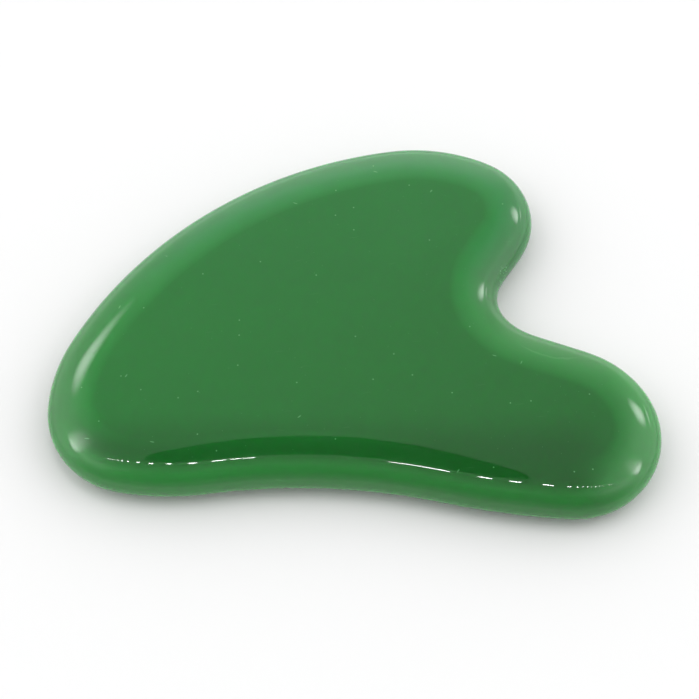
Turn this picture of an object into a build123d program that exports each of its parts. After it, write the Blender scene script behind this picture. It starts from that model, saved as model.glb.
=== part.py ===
from build123d import *
import os
from math import atan2, cos, degrees, hypot, radians, sin, sqrt

# Gua sha scraper: one polished board of green stone, heart-shaped in plan, with a short
# and a long lobe on the right, a notch between them and a heel on the left.
# Millimetres and degrees. The board lies flat: +X to the lobes, +Y to the back edge, +Z up.
# The origin is the centre of the bounding box at the level of the lower face.

# Overall
length = 82.0              # heel to the end of the long lobe
thickness = 6.6            # between the two flat faces

# Cross-section of the edge, the same all round and on both faces
shoulder_radius = 18.0     # soft roll-off from each flat face
shoulder_tilt = 14.7       # slope of the roll-off where the round rim takes over

# Heel, on the left
heel_radius = 12.0         # front quarter of the heel
heel_back_radius = 22.3    # back quarter of the heel
heel_height = 15.8         # widest point of the heel above the front line

# Back edge and short lobe
back_radius = 59.0         # long back edge
crown_radius = 24.0        # top of the board, over the short lobe
crown_end = 64.0           # direction in which the crown turns into the short lobe
short_lobe_radius = 10.4   # end of the short lobe

# Notch between the lobes
throat_direction = -32.6   # outward direction of the straight wall above the notch
throat_length = 5.0        # that straight wall
notch_radius = 5.6         # bottom of the notch
notch_turn = 80.0          # how far the bottom of the notch bends round
relief_radius = 9.4        # softer bend from the notch into the inner edge

# Long lobe
inner_edge_direction = 69.5   # outward direction of the straight inner edge
inner_edge_length = 7.6       # that straight edge
lobe_shoulder_radius = 14.6   # bend from the inner edge to the lobe's end
lobe_shoulder_end = 27.5      # direction in which that bend becomes the end
long_lobe_radius = 12.0       # end of the long lobe

# Front edge, with its shallow hollow
front_right_radius = 106.0    # under the long lobe
hollow_radius = 84.0          # the hollow itself
hollow_rise = 4.6             # deepest point of the hollow above the front line
hollow_position = 0.376       # its place, as a share of the way from heel to long lobe
front_left_radius = 36.8      # under the heel


def on_circle(centre, radius, direction):
    """The point of a circle that lies in a direction, in degrees, from its centre."""
    angle = radians(direction)
    return (centre[0] + radius * cos(angle), centre[1] + radius * sin(angle))


def direction(start, end):
    """Direction from one point to another, in degrees."""
    return degrees(atan2(end[1] - start[1], end[0] - start[0]))


def meeting_point(start, start_reach, end, end_reach):
    """The point at the two reaches from start and end, to the right of the way between them."""
    span = hypot(end[0] - start[0], end[1] - start[1])
    along = (span**2 + start_reach**2 - end_reach**2) / (2 * span)
    aside = sqrt(start_reach**2 - along**2)
    foot = on_circle(start, along, direction(start, end))
    return on_circle(foot, aside, direction(start, end) - 90)


class Bend:
    """A round stretch of the outline, walked clockwise round the board."""

    def __init__(self, centre, radius, start, end, hollow=False):
        self.centre = centre
        self.hollow = hollow
        self.radius = radius
        self.start = start
        self.turn = (end - start) % 360 if hollow else (start - end) % 360

    def inset_edge(self, inset):
        """The same stretch, moved into the board."""
        if self.hollow:
            return CenterArc(self.centre, self.radius + inset, self.start, self.turn)
        return CenterArc(self.centre, self.radius - inset, self.start, -self.turn)

    def edge_band(self, section):
        """The board's edge along this stretch."""
        outward = self.start + 180 if self.hollow else self.start
        start_point = on_circle(self.centre, self.radius, self.start)
        axis = Axis((*self.centre, 0), (0, 0, 1 if self.hollow else -1))
        return revolve(place_section(section, start_point, outward), axis, self.turn)


class Run:
    """A straight stretch of the outline."""

    def __init__(self, start, run_length, outward):
        self.start = start
        self.outward = outward
        self.run_length = run_length
        self.end = on_circle(start, run_length, outward - 90)

    def inset_edge(self, inset):
        """The same stretch, moved into the board."""
        start = on_circle(self.start, -inset, self.outward)
        end = on_circle(self.end, -inset, self.outward)
        return Line(start, end)

    def edge_band(self, section):
        """The board's edge along this stretch."""
        return extrude(place_section(section, self.start, self.outward), self.run_length)


def place_section(section, point, outward):
    """Stands the cross-section at a point of the outline, facing along the walk."""
    facing = Plane(
        origin=(*point, 0),
        x_dir=(*on_circle((0, 0), 1, outward), 0),
        z_dir=(*on_circle((0, 0), 1, outward - 90), 0),
    )
    return facing * section


def edge_section():
    """Cross-section of the edge, with its outermost point at x = 0, and the edge's width."""
    shoulder_drop = shoulder_radius * (1 - cos(radians(shoulder_tilt)))
    rim_radius = (thickness / 2 - shoulder_drop) / cos(radians(shoulder_tilt))
    width = rim_radius + (shoulder_radius - rim_radius) * sin(radians(shoulder_tilt))
    upper_centre = (-width, thickness - shoulder_radius)
    lower_centre = (-width, shoulder_radius)
    rim_centre = (-rim_radius, thickness / 2)
    upper_shoulder = CenterArc(upper_centre, shoulder_radius, 90, -shoulder_tilt)
    rim = CenterArc(rim_centre, rim_radius, 90 - shoulder_tilt, 2 * shoulder_tilt - 180)
    lower_shoulder = CenterArc(lower_centre, shoulder_radius, shoulder_tilt - 90, -shoulder_tilt)
    inner_wall = Line((-width, 0), (-width, thickness))
    section = make_face([upper_shoulder, rim, lower_shoulder, inner_wall])
    return section, width


def board_outline():
    """The outline's stretches, clockwise from the heel's leftmost point.

    The lobes and the notch are laid out from the end of the long lobe, and the heel from the
    board's length. The back edge and the front edge are then the arcs that touch both ends.
    """
    # The long lobe, and back along its inner edge
    long_lobe = (length / 2 - long_lobe_radius, long_lobe_radius)
    shoulder_offset = long_lobe_radius - lobe_shoulder_radius
    lobe_shoulder = on_circle(long_lobe, shoulder_offset, lobe_shoulder_end)
    inner_edge_end = on_circle(lobe_shoulder, lobe_shoulder_radius, inner_edge_direction)
    inner_edge_start = on_circle(inner_edge_end, inner_edge_length, inner_edge_direction + 90)

    # The notch
    relief = on_circle(inner_edge_start, relief_radius, inner_edge_direction)
    notch_start = throat_direction + 180
    notch_end = notch_start + notch_turn
    notch = on_circle(relief, relief_radius - notch_radius, notch_end)
    throat_end = on_circle(notch, notch_radius, notch_start)
    throat_start = on_circle(throat_end, throat_length, throat_direction + 90)

    # The short lobe and the crown above it
    short_lobe = on_circle(throat_start, -short_lobe_radius, throat_direction)
    crown = on_circle(short_lobe, short_lobe_radius - crown_radius, crown_end)

    # The heel, and the back edge between it and the crown
    heel = (heel_radius - length / 2, heel_height)
    heel_back = (heel_back_radius - length / 2, heel_height)
    back = meeting_point(
        heel_back, back_radius - heel_back_radius, crown, back_radius - crown_radius
    )

    # The front edge, from the long lobe over the hollow to the heel
    hollow_x = heel[0] + hollow_position * (long_lobe[0] - heel[0])
    hollow = (hollow_x, hollow_rise - hollow_radius)
    front_right = meeting_point(
        long_lobe,
        front_right_radius - long_lobe_radius,
        hollow,
        front_right_radius + hollow_radius,
    )
    front_left = meeting_point(
        hollow, front_left_radius + hollow_radius, heel, front_left_radius - heel_radius
    )

    # Directions in which one bend hands over to the next
    back_start = direction(back, heel_back)
    back_end = direction(back, crown)
    front_start = direction(front_right, long_lobe)
    hollow_start = direction(hollow, front_right)
    hollow_end = direction(hollow, front_left)
    front_end = direction(front_left, heel)

    return [
        Bend(heel_back, heel_back_radius, 180, back_start),
        Bend(back, back_radius, back_start, back_end),
        Bend(crown, crown_radius, back_end, crown_end),
        Bend(short_lobe, short_lobe_radius, crown_end, throat_direction),
        Run(throat_start, throat_length, throat_direction),
        Bend(notch, notch_radius, notch_start, notch_end, hollow=True),
        Bend(relief, relief_radius, notch_end, inner_edge_direction + 180, hollow=True),
        Run(inner_edge_start, inner_edge_length, inner_edge_direction),
        Bend(lobe_shoulder, lobe_shoulder_radius, inner_edge_direction, lobe_shoulder_end),
        Bend(long_lobe, long_lobe_radius, lobe_shoulder_end, front_start),
        Bend(front_right, front_right_radius, front_start, hollow_start + 180),
        Bend(hollow, hollow_radius, hollow_start, hollow_end, hollow=True),
        Bend(front_left, front_left_radius, hollow_end + 180, front_end),
        Bend(heel, heel_radius, front_end, 180),
    ]


def make_board():
    """The board: a flat core, and the same rounded edge along every stretch of its outline."""
    section, edge_width = edge_section()
    outline = board_outline()
    core_face = make_face([stretch.inset_edge(edge_width) for stretch in outline])
    board = extrude(core_face, thickness, dir=(0, 0, 1))
    board += [stretch.edge_band(section) for stretch in outline]
    box = board.bounding_box()
    board = Location((-box.center().X, -box.center().Y, -box.min.Z)) * board
    return board.solid()


scraper_board = make_board()

os.makedirs("parts", exist_ok=True)
export_step(scraper_board, "parts/scraper_board.step")

size = scraper_board.bounding_box().size
print(f"board {size.X:.2f} x {size.Y:.2f} x {size.Z:.2f} mm, {scraper_board.volume:.0f} mm3")
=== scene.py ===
"""Looks of the gua sha scraper: one polished board of milky green stone on a pale floor."""

import math

import bmesh
import bpy
import numpy as np
from mathutils import Matrix, Vector


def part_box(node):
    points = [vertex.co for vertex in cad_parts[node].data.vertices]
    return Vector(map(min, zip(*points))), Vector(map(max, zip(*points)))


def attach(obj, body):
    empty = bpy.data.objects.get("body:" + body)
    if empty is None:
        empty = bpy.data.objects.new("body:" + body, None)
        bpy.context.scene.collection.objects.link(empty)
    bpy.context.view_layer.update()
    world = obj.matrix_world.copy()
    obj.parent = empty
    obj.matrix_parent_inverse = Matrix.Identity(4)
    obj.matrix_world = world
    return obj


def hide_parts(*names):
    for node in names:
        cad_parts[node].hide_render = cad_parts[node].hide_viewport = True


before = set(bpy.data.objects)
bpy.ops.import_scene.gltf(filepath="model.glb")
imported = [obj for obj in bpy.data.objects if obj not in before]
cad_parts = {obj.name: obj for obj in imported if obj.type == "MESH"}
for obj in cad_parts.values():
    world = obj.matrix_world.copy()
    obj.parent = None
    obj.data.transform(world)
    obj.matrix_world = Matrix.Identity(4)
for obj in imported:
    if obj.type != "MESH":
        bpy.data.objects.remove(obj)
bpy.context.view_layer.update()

MM = 0.001
BOARD_NODE = "scraper_board"
BOARD_LOW, BOARD_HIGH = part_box(BOARD_NODE)
BOARD_CENTRE = (BOARD_LOW + BOARD_HIGH) / 2
THICKNESS = BOARD_HIGH.z - BOARD_LOW.z

# The board's edge, as it is ground: a soft shoulder from each face into a full round rim
SHOULDER_RADIUS = 18.0 * MM
SHOULDER_TILT = math.radians(14.7)

# The outline's points, and how far the ground edge evens out the change from bend to bend
OUTLINE_POINTS = 720
OUTLINE_EASE = 1.6 * MM

# The attribute that holds how far in from the outline a point of the board lies, in metres
DEPTH_MARK = "edge_depth"

# Marks of the making: the rougher wall between the lobes, and a curved scuff beside it
THROAT_WALL = BOARD_CENTRE + Vector((20.5, 7.6, 1.4)) * MM
THROAT_TURN = math.radians(-27)
THROAT_SIZE = Vector((0.9, 2.1, 1.6)) * MM
SCUFF_CENTRE = BOARD_CENTRE + Vector((28.2, 2.0, 0)) * MM
SCUFF_RADIUS = 8.6 * MM

# How finely the edge is divided, and the flat strip that leads it into each face
SHOULDER_STEPS = 13
RIM_STEPS = 33
LAND = 0.15 * MM

# The light tent: its top above the floor, and the soft panels that the polish shows. A panel's
# place, length and width are shares of the tent's height, and its turn is in degrees.
TENT_HEIGHT = 600 * MM
SOFT_PANELS = {
    "left_panel": {"x": -0.86, "y": 0.02, "length": 1.25, "width": 0.36, "turn": 30, "strength": 7},
    "right_panel": {"x": 1.02, "y": -0.01, "length": 1.35, "width": 0.31, "turn": -24, "strength": 7.5},
    "left_back_panel": {"x": -0.51, "y": 0.75, "length": 0.36, "width": 0.36, "turn": 0, "strength": 6},
    "right_back_panel": {"x": 0.69, "y": 0.74, "length": 0.35, "width": 0.35, "turn": 0, "strength": 7},
    "far_back_panel": {"x": 1.24, "y": 1.0, "length": 0.5, "width": 0.5, "turn": 0, "strength": 5},
}
PANEL_FADE = (0.15, 1.0)

# The strip of small lamps: half width and how far back its middle stands, both in mm, and how
# many mm further back it stands for each mm to the right
LAMP_HALF_WIDTH = 2.1
STRIP_BACK = 13
STRIP_SLANT = -0.0645
LAMP_STRENGTH = 60

# The tent's plain light on the board, in watts. The polish doesn't show these.
STRIP_POWER = 0.48
LEFT_POWER = 0.18
RIGHT_POWER = 0.27
SIDE_LIGHT_SIZE = (300 * MM, 600 * MM)

# The stone's colours, and a bluer green painted as sheen at the back edge
DEEP_GREEN = (0.0120, 0.117, 0.0208, 1)
PALE_GREEN = (0.0170, 0.166, 0.0300, 1)
SHEEN_GREEN = (0.0170, 0.160, 0.0430, 1)
MARK_GREEN = (0.11, 0.38, 0.14, 1)

# How far light goes inside the stone: the reach, and each colour's share of it
GLOW_REACH = 1.4 * MM
GLOW_SHARES = (0.15, 1.0, 0.25)

# Camera: level with the board's length, looking down at the upper face
VIEW_ELEVATION = math.radians(60)
VIEW_DISTANCE = 320 * MM
VIEW_WIDTH = 96.3 * MM
AIM = Vector((BOARD_CENTRE.x - 0.55 * MM, BOARD_CENTRE.y - 1.59 * MM, BOARD_LOW.z))


# ---------------------------------------------------------------- node trees

class Value:
    """What a node's output carries. Arithmetic on it adds Math nodes to the same tree."""

    def __init__(self, tree, socket):
        self.tree = tree
        self.socket = socket

    def math(self, operation, *values):
        """A Math node on the given values. This value only says which tree it goes in."""
        return self.tree.node("ShaderNodeMath", {"operation": operation}, list(values))

    def __add__(self, other):
        return self.math("ADD", self, other)

    def __sub__(self, other):
        return self.math("SUBTRACT", self, other)

    def __rsub__(self, other):
        return self.math("SUBTRACT", other, self)

    def __mul__(self, other):
        return self.math("MULTIPLY", self, other)

    def __truediv__(self, other):
        return self.math("DIVIDE", self, other)

    def __neg__(self):
        return self.math("MULTIPLY", self, -1)

    __radd__ = __add__
    __rmul__ = __mul__

    def limit(self):
        """The value, kept between 0 and 1."""
        return self.math("MINIMUM", self.math("MAXIMUM", self, 0), 1)

    def other(self, name):
        """Another output of the same node."""
        return Value(self.tree, self.socket.node.outputs[name])


class Tree:
    """A shader or geometry node tree that is written as expressions."""

    def __init__(self, nodes):
        self.nodes = nodes

    def node(self, kind, settings=None, values=None, output=0):
        """Adds a node. The values are a list, or a dictionary by socket name."""
        made = self.nodes.nodes.new(kind)
        for name, setting in (settings or {}).items():
            setattr(made, name, setting)
        sockets = [socket for socket in made.inputs if socket.enabled]
        if isinstance(values, dict):
            named = {socket.name: socket for socket in reversed(sockets)}
            pairs = [(named[name], value) for name, value in values.items()]
        else:
            pairs = list(zip(sockets, values or []))
        for socket, value in pairs:
            self.feed(socket, value)
        outputs = [socket for socket in made.outputs if socket.enabled]
        if isinstance(output, str):
            return Value(self, next(socket for socket in outputs if socket.name == output))
        return Value(self, outputs[output]) if outputs else made

    def feed(self, socket, value):
        """Links a value to a socket, or sets the socket to a constant."""
        if isinstance(value, Value):
            self.nodes.links.new(value.socket, socket)
        elif value is not None:
            socket.default_value = value

    def smooth_step(self, value, start, end, low=0, high=1):
        """Goes softly from low to high as the value goes from start to end."""
        settings = {"interpolation_type": "SMOOTHSTEP"}
        return self.node("ShaderNodeMapRange", settings, [value, start, end, low, high])

    def blend(self, factor, first, second):
        """The first colour at factor 0 and the second at factor 1."""
        values = {"Factor": factor, "A": first, "B": second}
        return self.node("ShaderNodeMix", {"data_type": "RGBA"}, values)

    def axis(self, vector, name):
        return self.node("ShaderNodeSeparateXYZ", {}, [vector], name)

    def vector(self, operation, *values, output=0):
        return self.node("ShaderNodeVectorMath", {"operation": operation}, list(values), output)

    def scale(self, vector, amount):
        values = {"Vector": vector, "Scale": amount}
        return self.node("ShaderNodeVectorMath", {"operation": "SCALE"}, values)


# ---------------------------------------------------------------- camera, floor and lights

def add_object(name, data):
    made = bpy.data.objects.new(name, data)
    bpy.context.scene.collection.objects.link(made)
    return made


def add_camera():
    data = bpy.data.cameras.new("camera")
    data.sensor_width = 36
    data.lens = data.sensor_width * VIEW_DISTANCE / VIEW_WIDTH
    data.clip_start = 10 * MM
    camera = add_object("camera", data)
    back = Vector((0, -math.cos(VIEW_ELEVATION), math.sin(VIEW_ELEVATION)))
    camera.location = AIM + back * VIEW_DISTANCE
    camera.rotation_euler = (math.pi / 2 - VIEW_ELEVATION, 0, 0)
    bpy.context.scene.camera = camera


def add_soft_light(name, place, width, depth, power):
    """A rectangular light turned to face the board. The board's polish doesn't show it."""
    data = bpy.data.lights.new(name, "AREA")
    data.shape = "RECTANGLE"
    data.size = width
    data.size_y = depth
    data.energy = power
    light = add_object(name, data)
    light.location = place
    light.rotation_euler = (Vector(place) - BOARD_CENTRE).to_track_quat("Z", "Y").to_euler()
    light.visible_glossy = False


def tent_walls():
    """The tent's walls as the world: bright low at the back and sides, dim overhead and in front."""
    world = bpy.data.worlds.new("tent")
    bpy.context.scene.world = world
    world.use_nodes = True
    tree = Tree(world.node_tree)
    tree.nodes.nodes.clear()
    way = tree.node("ShaderNodeTexCoord", {}, {}, "Generated")
    back = tree.axis(way, "Y")
    side = tree.axis(way, "X").math("ABSOLUTE", tree.axis(way, "X"))
    front = -back
    top = 0.42 - 0.12 * tree.smooth_step(front, 0.1, 0.5) + 0.3 * tree.smooth_step(front, 0.8, 1)
    back_wall = 0.75 * tree.smooth_step(back, 0.4, 0.9)
    side_walls = 1.15 * tree.smooth_step(side, 0.1, 0.6)
    side_walls = side_walls * (1 - 0.75 * tree.smooth_step(front, 0.1, 0.7))
    strength = top + back.math("MAXIMUM", back_wall, side_walls)
    sky = tree.node("ShaderNodeBackground", {}, {"Color": (1, 1, 1, 1), "Strength": strength})
    tree.node("ShaderNodeOutputWorld", {}, {"Surface": sky})


def emission_material(name, strength, fade=None):
    """A plain glow, or with a fade one that goes out softly between two radii of its card."""
    material = bpy.data.materials.new(name)
    material.use_nodes = True
    tree = Tree(material.node_tree)
    tree.nodes.nodes.clear()
    surface = tree.node("ShaderNodeEmission", {}, {"Color": (1, 1, 1, 1), "Strength": strength})
    if fade:
        place = tree.node("ShaderNodeTexCoord", {}, {}, "Object")
        radius = tree.vector("LENGTH", place, output="Value")
        clear = tree.node("ShaderNodeBsdfTransparent")
        shown = tree.smooth_step(radius, fade[0], fade[1], 1, 0)
        surface = tree.node("ShaderNodeMixShader", {}, [shown, clear, surface])
    tree.node("ShaderNodeOutputMaterial", {}, {"Surface": surface})
    return material


def stage_object(name, mesh, material):
    """Part of the light tent: seen in the board's polish and nowhere else."""
    mesh.materials.append(material)
    made = add_object(name, mesh)
    made.visible_camera = False
    made.visible_diffuse = False
    made.visible_transmission = False
    made.visible_shadow = False
    return made


def add_soft_panel(name, x, y, length, width, turn, strength):
    """A diffused lamp panel at the tent's top, as an ellipse that fades at its edge."""
    mesh = bpy.data.meshes.new(name)
    mesh.from_pydata([(-1, -1, 0), (1, -1, 0), (1, 1, 0), (-1, 1, 0)], [], [range(4)])
    panel = stage_object(name, mesh, emission_material(name, strength, PANEL_FADE))
    panel.location = (x * TENT_HEIGHT, y * TENT_HEIGHT, TENT_HEIGHT + 2 * MM)
    panel.rotation_euler = (0, 0, math.radians(turn))
    panel.scale = (length * TENT_HEIGHT / 2, width * TENT_HEIGHT / 2, 1)
    return panel


def add_dark_card():
    """The dark card at the tent's top, round at the back. The polish shows it as a deep band
    along the board's front edge."""
    half_width, front, middle, rear = 72 * MM, 32 * MM, 62 * MM, 228 * MM
    steps = 64
    points = []
    for step in range(steps):
        angle = 2 * math.pi * step / steps
        across, along = math.cos(angle), math.sin(angle)
        power, depth = (2 / 1.75, rear - middle) if along > 0 else (2 / 3, middle - front)
        x = math.copysign(abs(across) ** power, across) * half_width
        y = math.copysign(abs(along) ** power, along) * depth
        points.append((x - 25 * MM + 0.1 * y, middle + y, TENT_HEIGHT))
    mesh = bpy.data.meshes.new("dark_card")
    mesh.from_pydata(points, [], [range(steps)])
    stage_object("dark_card", mesh, emission_material("dark_card", 0.02))


def add_back_wall():
    """The tent's bright back wall, as the board's polish shows it."""
    wall = add_soft_panel("back_wall", x=0, y=0, length=3.4, width=2.3, turn=0, strength=2.1)
    wall.location = (0, 800 * MM, 150 * MM)
    wall.rotation_euler = (math.radians(90), 0, 0)


def lamp_places():
    """Where the strip's lamps stand across the tent, and each one's half length, in mm. They stand
    closest at the strip's ends, and are longest towards its middle."""
    left_steps, right_steps = 10, 13
    for step in range(left_steps + 1):
        share = step / left_steps
        yield -181 + 90 * share + 53 * share**5, 1.6 + 4.6 * share**4
    for step in range(right_steps + 1):
        share = step / right_steps
        yield 245 - 201.5 * share - 33.5 * share**2.5, 1.6 + 4.2 * share**4
    middle_pair = ((-22.3, 1.0), (-15.2, 2.6))
    yield from middle_pair


def add_lamp_strip():
    """A straight strip of small lamps at the tent's top."""
    made = bmesh.new()
    for across, half_length in lamp_places():
        back = STRIP_BACK + STRIP_SLANT * across
        place = Matrix.Translation(Vector((across * MM, back * MM, TENT_HEIGHT)))
        shape = place @ Matrix.Diagonal((half_length * MM, LAMP_HALF_WIDTH * MM, 1, 1))
        bmesh.ops.create_circle(made, cap_ends=True, segments=16, radius=1, matrix=shape)
    mesh = bpy.data.meshes.new("lamp_strip")
    made.to_mesh(mesh)
    made.free()
    stage_object("lamp_strip", mesh, emission_material("lamp_strip", LAMP_STRENGTH))


def add_light_tent():
    tent_walls()
    add_lamp_strip()
    add_dark_card()
    add_back_wall()
    for name, panel in SOFT_PANELS.items():
        add_soft_panel(name, **panel)
    left, right = -0.86 * TENT_HEIGHT, 1.0 * TENT_HEIGHT
    add_soft_light("strip_light", (20 * MM, 15 * MM, TENT_HEIGHT), 420 * MM, 120 * MM, STRIP_POWER)
    add_soft_light("left_light", (left, 0, TENT_HEIGHT), *SIDE_LIGHT_SIZE, LEFT_POWER)
    add_soft_light("right_light", (right, 0, TENT_HEIGHT), *SIDE_LIGHT_SIZE, RIGHT_POWER)


def add_floor():
    """The plain pale floor, three metres each way."""
    half = 3.0
    mesh = bpy.data.meshes.new("floor")
    corners = [(-half, -half, 0), (half, -half, 0), (half, half, 0), (-half, half, 0)]
    mesh.from_pydata(corners, [], [range(4)])
    material = bpy.data.materials.new("pale_floor")
    material.use_nodes = True
    tree = Tree(material.node_tree)
    tree.nodes.nodes.clear()
    values = {"Base Color": (0.88, 0.88, 0.88, 1), "Roughness": 0.6, "Specular IOR Level": 0.2}
    finish = tree.node("ShaderNodeBsdfPrincipled", {}, values)
    tree.node("ShaderNodeOutputMaterial", {}, {"Surface": finish})
    mesh.materials.append(material)
    floor = add_object("floor", mesh)


# ---------------------------------------------------------------- the board's shape

def read_outline(node):
    """The board's outline at mid-height, in order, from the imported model."""
    cut = bmesh.new()
    cut.from_mesh(node.data)
    bmesh.ops.remove_doubles(cut, verts=cut.verts, dist=0.001 * MM)
    whole = cut.verts[:] + cut.edges[:] + cut.faces[:]
    section = bmesh.ops.bisect_plane(
        cut, geom=whole, dist=0.001 * MM, plane_co=BOARD_CENTRE, plane_no=(0, 0, 1)
    )
    edges = [item for item in section["geom_cut"] if isinstance(item, bmesh.types.BMEdge)]
    neighbours = {}
    for edge in edges:
        first, second = edge.verts
        neighbours.setdefault(first, []).append(second)
        neighbours.setdefault(second, []).append(first)
    start = edges[0].verts[0]
    previous, here, points = None, start, []
    while here is not start or not points:
        points.append(complex(here.co.x, here.co.y))
        following = [vert for vert in neighbours[here] if vert is not previous]
        previous, here = here, following[0]
    cut.free()
    return np.array(points)


def even_outline(points):
    """The outline counter-clockwise in evenly spaced points, with its bends eased together."""
    # twice the area, which is negative where the points run clockwise
    area = np.sum(points.real * np.roll(points.imag, -1) - np.roll(points.real, -1) * points.imag)
    if area < 0:
        points = points[::-1]
    # a smooth curve through the points
    before, after, second = np.roll(points, 1), np.roll(points, -1), np.roll(points, -2)
    fine = []
    for share in np.linspace(0, 1, 12, endpoint=False):
        fine.append(
            points
            + share * (after - before) / 2
            + share**2 * (before - 2.5 * points + 2 * after - second / 2)
            + share**3 * (1.5 * (points - after) + (second - before) / 2)
        )
    curve = np.array(fine).T.ravel()
    closed = np.append(curve, curve[0])
    walked = np.append(0, np.cumsum(abs(np.diff(closed))))
    stations = np.linspace(0, walked[-1], OUTLINE_POINTS, endpoint=False)
    even = np.interp(stations, walked, closed.real) + 1j * np.interp(stations, walked, closed.imag)
    waves = np.fft.fftfreq(OUTLINE_POINTS, walked[-1] / OUTLINE_POINTS)
    keep = np.exp(-2 * (np.pi * OUTLINE_EASE * waves) ** 2)
    return np.fft.ifft(np.fft.fft(even) * (2 * keep - keep**2))


def board_tree():
    """Geometry nodes that sweep the edge's section round an outline and close both faces."""
    group = bpy.data.node_groups.new("ground_board", "GeometryNodeTree")
    interface = group.interface
    interface.new_socket("Outline", in_out="INPUT", socket_type="NodeSocketGeometry")
    for name in ("Thickness", "Shoulder Radius", "Shoulder Tilt", "Land"):
        interface.new_socket(name, in_out="INPUT", socket_type="NodeSocketFloat")
    for name in ("Shoulder Steps", "Rim Steps"):
        interface.new_socket(name, in_out="INPUT", socket_type="NodeSocketInt")
    interface.new_socket("Stone", in_out="INPUT", socket_type="NodeSocketMaterial")
    interface.new_socket("Board", in_out="OUTPUT", socket_type="NodeSocketGeometry")

    tree = Tree(group)
    given = group.nodes.new("NodeGroupInput")
    given = {socket.name: Value(tree, socket) for socket in given.outputs}
    half = given["Thickness"] / 2
    radius, tilt, land = given["Shoulder Radius"], given["Shoulder Tilt"], given["Land"]
    cosine, sine = tilt.math("COSINE", tilt), tilt.math("SINE", tilt)
    rim = (half - radius * (1 - cosine)) / cosine
    width = rim + (radius - rim) * sine
    quarter = math.pi / 2

    def place(x, y, z=0):
        return tree.node("ShaderNodeCombineXYZ", {}, [x, y, z])

    def move(shape, offset):
        return tree.node("GeometryNodeTransform", {}, {"Geometry": shape, "Translation": offset})

    outline = tree.node("GeometryNodeMeshToCurve", {}, [given["Outline"]])
    outline = tree.node("GeometryNodeSetSplineCyclic", {}, {"Geometry": outline, "Cyclic": True})
    outline = tree.node("GeometryNodeSetCurveNormal", {"mode": "Z_UP"}, {"Curve": outline})

    def mark_depth(shape, depth):
        """Stores how far in from the outline each point lies."""
        values = {"Geometry": shape, "Name": DEPTH_MARK, "Value": depth}
        return tree.node("GeometryNodeStoreNamedAttribute", {}, values)

    def arc(steps, bend_radius, start, turn, centre):
        values = {"Resolution": steps, "Radius": bend_radius, "Start Angle": start, "Sweep Angle": turn}
        return move(tree.node("GeometryNodeCurveArc", {}, values), centre)

    def sweep_round(profile):
        across = tree.axis(tree.node("GeometryNodeInputPosition"), "X")
        profile = mark_depth(profile, -across)
        return tree.node("GeometryNodeCurveToMesh", {}, {"Curve": outline, "Profile Curve": profile})

    def land_strip(height):
        ends = {"Start": place(-width - land, height), "End": place(-width, height)}
        return tree.node("GeometryNodeCurvePrimitiveLine", {}, ends)

    shoulder_steps, rim_steps = given["Shoulder Steps"], given["Rim Steps"]
    profiles = [
        land_strip(half),
        arc(shoulder_steps, radius, quarter - tilt, tilt, place(-width, half - radius)),
        arc(rim_steps, rim, tilt - quarter, math.pi - 2 * tilt, place(-rim, 0)),
        arc(shoulder_steps, radius, -quarter, tilt, place(-width, radius - half)),
        land_strip(-half),
    ]
    edge = [sweep_round(profile) for profile in profiles]

    tangent = tree.node("GeometryNodeInputTangent")
    outward = tree.vector("CROSS_PRODUCT", tangent, (0, 0, 1))
    inset = tree.scale(outward, -width - land)
    face_edge = tree.node("GeometryNodeSetPosition", {}, {"Geometry": outline, "Offset": inset})
    face = mark_depth(tree.node("GeometryNodeFillCurve", {}, [face_edge]), width + land)
    faces = [move(face, place(0, 0, half)), move(face, place(0, 0, -half))]

    joined = tree.nodes.nodes.new("GeometryNodeJoinGeometry")
    for part in edge + faces:
        tree.nodes.links.new(part.socket, joined.inputs[0])
    board = Value(tree, joined.outputs[0])
    board = tree.node("GeometryNodeMergeByDistance", {}, {"Geometry": board, "Distance": 0.002 * MM})
    board = tree.node("GeometryNodeSetShadeSmooth", {}, {"Geometry": board, "Shade Smooth": True})
    board = tree.node("GeometryNodeRealizeInstances", {}, [board])
    board = tree.node("GeometryNodeSetMaterial", {}, {"Geometry": board, "Material": given["Stone"]})
    finish = group.nodes.new("NodeGroupOutput")
    group.links.new(board.socket, finish.inputs["Board"])
    return group


def make_board(stone):
    """The board as one plain mesh, in its place on the floor."""
    outline = even_outline(read_outline(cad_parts[BOARD_NODE]))
    ring = bpy.data.meshes.new("board_outline")
    count = len(outline)
    points = [(point.real, point.imag, 0) for point in outline]
    ring.from_pydata(points, [(index, (index + 1) % count) for index in range(count)], [])
    draft = add_object("board_draft", ring)
    group = board_tree()
    modifier = draft.modifiers.new("grind", "NODES")
    modifier.node_group = group
    sizes = {
        "Thickness": THICKNESS,
        "Shoulder Radius": SHOULDER_RADIUS,
        "Shoulder Tilt": SHOULDER_TILT,
        "Land": LAND,
        "Shoulder Steps": SHOULDER_STEPS,
        "Rim Steps": RIM_STEPS,
        "Stone": stone,
    }
    for socket in group.interface.items_tree:
        if socket.name in sizes:
            modifier[socket.identifier] = sizes[socket.name]
    bpy.context.view_layer.update()
    evaluated = draft.evaluated_get(bpy.context.evaluated_depsgraph_get())
    mesh = bpy.data.meshes.new_from_object(evaluated)
    mesh.name = "polished_board"
    bpy.data.objects.remove(draft)
    mesh.transform(Matrix.Translation((0, 0, BOARD_CENTRE.z)))
    turned = bmesh.new()
    turned.from_mesh(mesh)
    bmesh.ops.recalc_face_normals(turned, faces=turned.faces)
    turned.to_mesh(mesh)
    turned.free()
    return add_object("polished_board", mesh)


# ---------------------------------------------------------------- the board's finish

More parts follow.
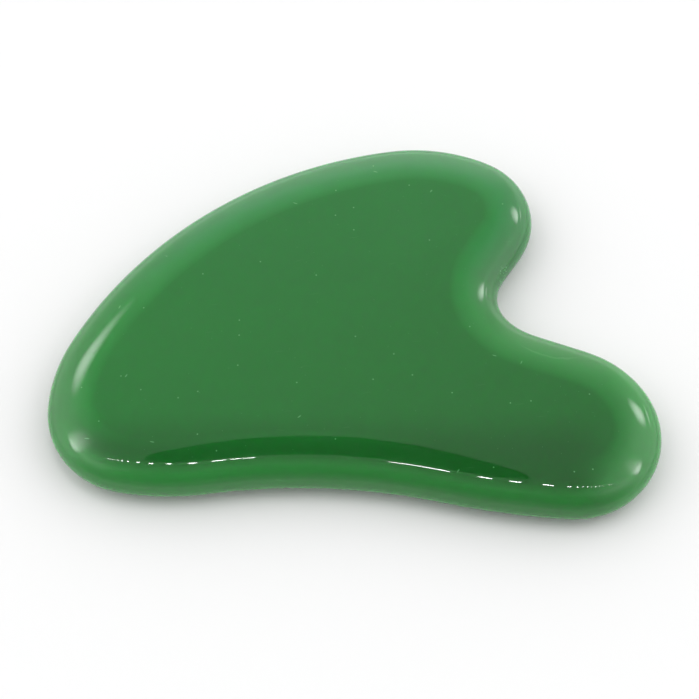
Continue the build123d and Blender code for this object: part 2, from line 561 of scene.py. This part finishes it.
def sparse_marks(tree, place, turn, spacing, share, radius):
    """Scattered marks, 1 on a mark and 0 off it. Each fills an ellipse in a cell of the given
    spacing, and only a share of the cells has one. The radius is a share of the cell, and the
    turn is in radians."""
    turned = {"Vector": place, "Rotation": (0, 0, turn), "Scale": (spacing[0], spacing[1], 1)}
    cells = tree.node("ShaderNodeMapping", {"vector_type": "TEXTURE"}, turned)
    settings = {"voronoi_dimensions": "2D", "feature": "F1"}
    distance = tree.node("ShaderNodeTexVoronoi", settings, {"Vector": cells, "Scale": 1}, "Distance")
    chance = tree.axis(distance.other("Color"), "X")
    shown = tree.node("ShaderNodeMath", {"operation": "LESS_THAN"}, [chance, share])
    return shown * tree.smooth_step(distance, 0.4 * radius, radius, 1, 0)


def ragged_patch(tree, place, centre, turn, size, grain):
    """A patch with a ragged outline, 1 at its middle and 0 outside it."""
    values = {"Vector": place, "Location": centre, "Rotation": (0, 0, turn), "Scale": size}
    inside = tree.node("ShaderNodeMapping", {"vector_type": "TEXTURE"}, values)
    reach = tree.vector("LENGTH", inside, output="Value") + 1.1 * (grain - 0.5)
    return tree.smooth_step(reach, 0.55, 1.0, 1, 0)


def green_stone():
    """Milky green stone, polished to a glassy surface, with the small marks of its making, and painted
    shade, glow and sheen in its colour.
    """
    material = bpy.data.materials.new("green_stone")
    material.use_nodes = True
    tree = Tree(material.node_tree)
    tree.nodes.nodes.clear()
    place = tree.node("ShaderNodeTexCoord", {}, {}, "Object")
    depth = tree.node("ShaderNodeAttribute", {"attribute_name": DEPTH_MARK}, {}, "Fac") / MM
    across, along = tree.axis(place, "X") / MM, tree.axis(place, "Y") / MM

    def noise(scale, detail, output="Fac"):
        values = {"Vector": place, "Scale": scale, "Detail": detail}
        return tree.node("ShaderNodeTexNoise", {}, values, output)

    # the body colour, with painted shade deeper towards the long lobe and the front, a painted glow
    # paler near the rim but not at the front, faint clouds in the stone and a bluer painted sheen at the
    # back edge. Distances are in mm.
    # front: where the painted front shade applies, along the front edge and short of the long lobe's end
    front = tree.smooth_step(-along, 14, 21) * tree.smooth_step(across, 28, 36, 1, 0)
    # painted shade: darker towards the long lobe and the front
    painted_light_and_clouds = (0.65 - 0.0100 * across + 0.0125 * along).limit()
    # painted glow: paler within a few millimetres of the outline, except along the front
    painted_light_and_clouds = painted_light_and_clouds + 0.55 * (1 - front) * tree.smooth_step(depth, 3, 7.5, 1, 0)
    painted_light_and_clouds = painted_light_and_clouds + 0.25 * (noise(60, 3) - 0.5) + 0.12 * (noise(420, 4) - 0.5)
    body = tree.blend(painted_light_and_clouds.limit(), DEEP_GREEN, PALE_GREEN)
    # painted sheen of the tent's bright back: the back edge turns bluer
    back_sheen = tree.smooth_step(along, -4, 18) * tree.smooth_step(depth, 3, 8, 1, 0)
    body = tree.blend(0.85 * back_sheen, body, SHEEN_GREEN)

    # painted light and shade by depth: a painted glow a few millimetres in from the outline, painted
    # shade at the rim itself, a painted shade band on the front's shoulder and a painted glow at the long
    # lobe's end
    glow_peak_depth = 4.5 - 2.9 * front
    glow_rise = tree.smooth_step(depth / glow_peak_depth, 0, 1)
    rim = 0.80 + 0.25 * front + (0.58 - 0.28 * front) * glow_rise
    rim = rim - (0.56 - 0.56 * front) * tree.smooth_step(depth, 5.5, 8.5)
    # painted shade band on the front's shoulder
    rim = rim - 0.51 * front * tree.smooth_step(depth, 1.6, 3.8)
    # painted glow at the long lobe's end
    rim = rim + 0.30 * tree.smooth_step(across, 31, 37) * tree.smooth_step(depth, 2, 5, 1, 0)

    # a faint line where the ground edge meets the face, along the back
    line = tree.smooth_step((depth - 6.9).math("ABSOLUTE", depth - 6.9), 0.03, 0.16, 1, 0)
    rim = rim - 0.07 * line * tree.smooth_step(-across, -8, 2) * tree.smooth_step(along, 0, 8)
    colour = tree.scale(body, rim)

    # pale grains and short nicks on the faces
    wander = tree.scale(noise(900, 1, "Color"), 0.5 * MM)
    bent = tree.vector("ADD", place, wander)
    on_face = tree.smooth_step(depth, 2.5, 3.5)
    grains = sparse_marks(tree, place, turn=0, spacing=(2.6 * MM, 2.6 * MM), share=0.10, radius=0.050)
    dust = sparse_marks(tree, place, turn=0.5, spacing=(1.7 * MM, 1.7 * MM), share=0.12, radius=0.034)
    nicks = sparse_marks(tree, bent, turn=1.2, spacing=(1.3 * MM, 5.2 * MM), share=0.020, radius=0.085)
    more = sparse_marks(tree, bent, turn=-0.5, spacing=(1.3 * MM, 4.4 * MM), share=0.018, radius=0.085)
    nicks = nicks + more
    scratches = sparse_marks(tree, bent, turn=-1.45, spacing=(0.7 * MM, 15 * MM), share=0.10, radius=0.06)
    marks = on_face * (grains + 0.5 * dust + 0.8 * nicks).limit()

    # the throat between the lobes, where the wheel left its wall rougher
    fine = noise(5200, 2)
    throat = ragged_patch(tree, place, THROAT_WALL, THROAT_TURN, THROAT_SIZE, noise(1500, 2))
    crumbs = throat * tree.smooth_step(fine, 0.58, 0.68)

    # a thin curved scuff beside the long lobe's inner edge
    from_bend = tree.vector("SUBTRACT", place, SCUFF_CENTRE)
    flat = tree.vector("MULTIPLY", from_bend, (1, 1, 0))
    stray = tree.vector("LENGTH", flat, output="Value") / MM - SCUFF_RADIUS / MM
    stray = stray + 0.5 * (noise(700, 2) - 0.5)
    scuff = tree.smooth_step(stray.math("ABSOLUTE", stray), 0.04, 0.22, 1, 0)
    scuff = scuff * tree.smooth_step(across, 22, 24) * tree.smooth_step(across, 28, 31, 1, 0)
    scuff = scuff * tree.smooth_step(-along, -1, 2)

    pale = (marks + 0.7 * crumbs + 0.22 * scuff + 0.10 * scratches).limit()
    colour = tree.blend(pale, colour, MARK_GREEN)

    roughness = 0.004 + 0.12 * throat + 0.10 * scratches + 0.06 * scuff + 0.2 * marks
    waves = 4.0 * noise(75, 1) + 0.8 * noise(420, 2) + 9 * throat * fine - 3 * scratches
    polish = {"Strength": 1, "Distance": 0.001 * MM, "Height": waves}
    values = {
        "Base Color": colour,
        "Roughness": roughness,
        "IOR": 1.6,
        "Subsurface Weight": 1.0,
        "Subsurface Radius": GLOW_SHARES,
        "Subsurface Scale": GLOW_REACH,
        "Subsurface Anisotropy": 0.6,
        "Normal": tree.node("ShaderNodeBump", {}, polish),
    }
    stone = tree.node("ShaderNodeBsdfPrincipled", {"subsurface_method": "RANDOM_WALK_SKIN"}, values)
    tree.node("ShaderNodeOutputMaterial", {}, {"Surface": stone})
    return material


# ---------------------------------------------------------------- the scene

bpy.context.scene.view_settings.view_transform = "Standard"
add_camera()
add_light_tent()
add_floor()

board = make_board(green_stone())
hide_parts(BOARD_NODE)
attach(board, "root")
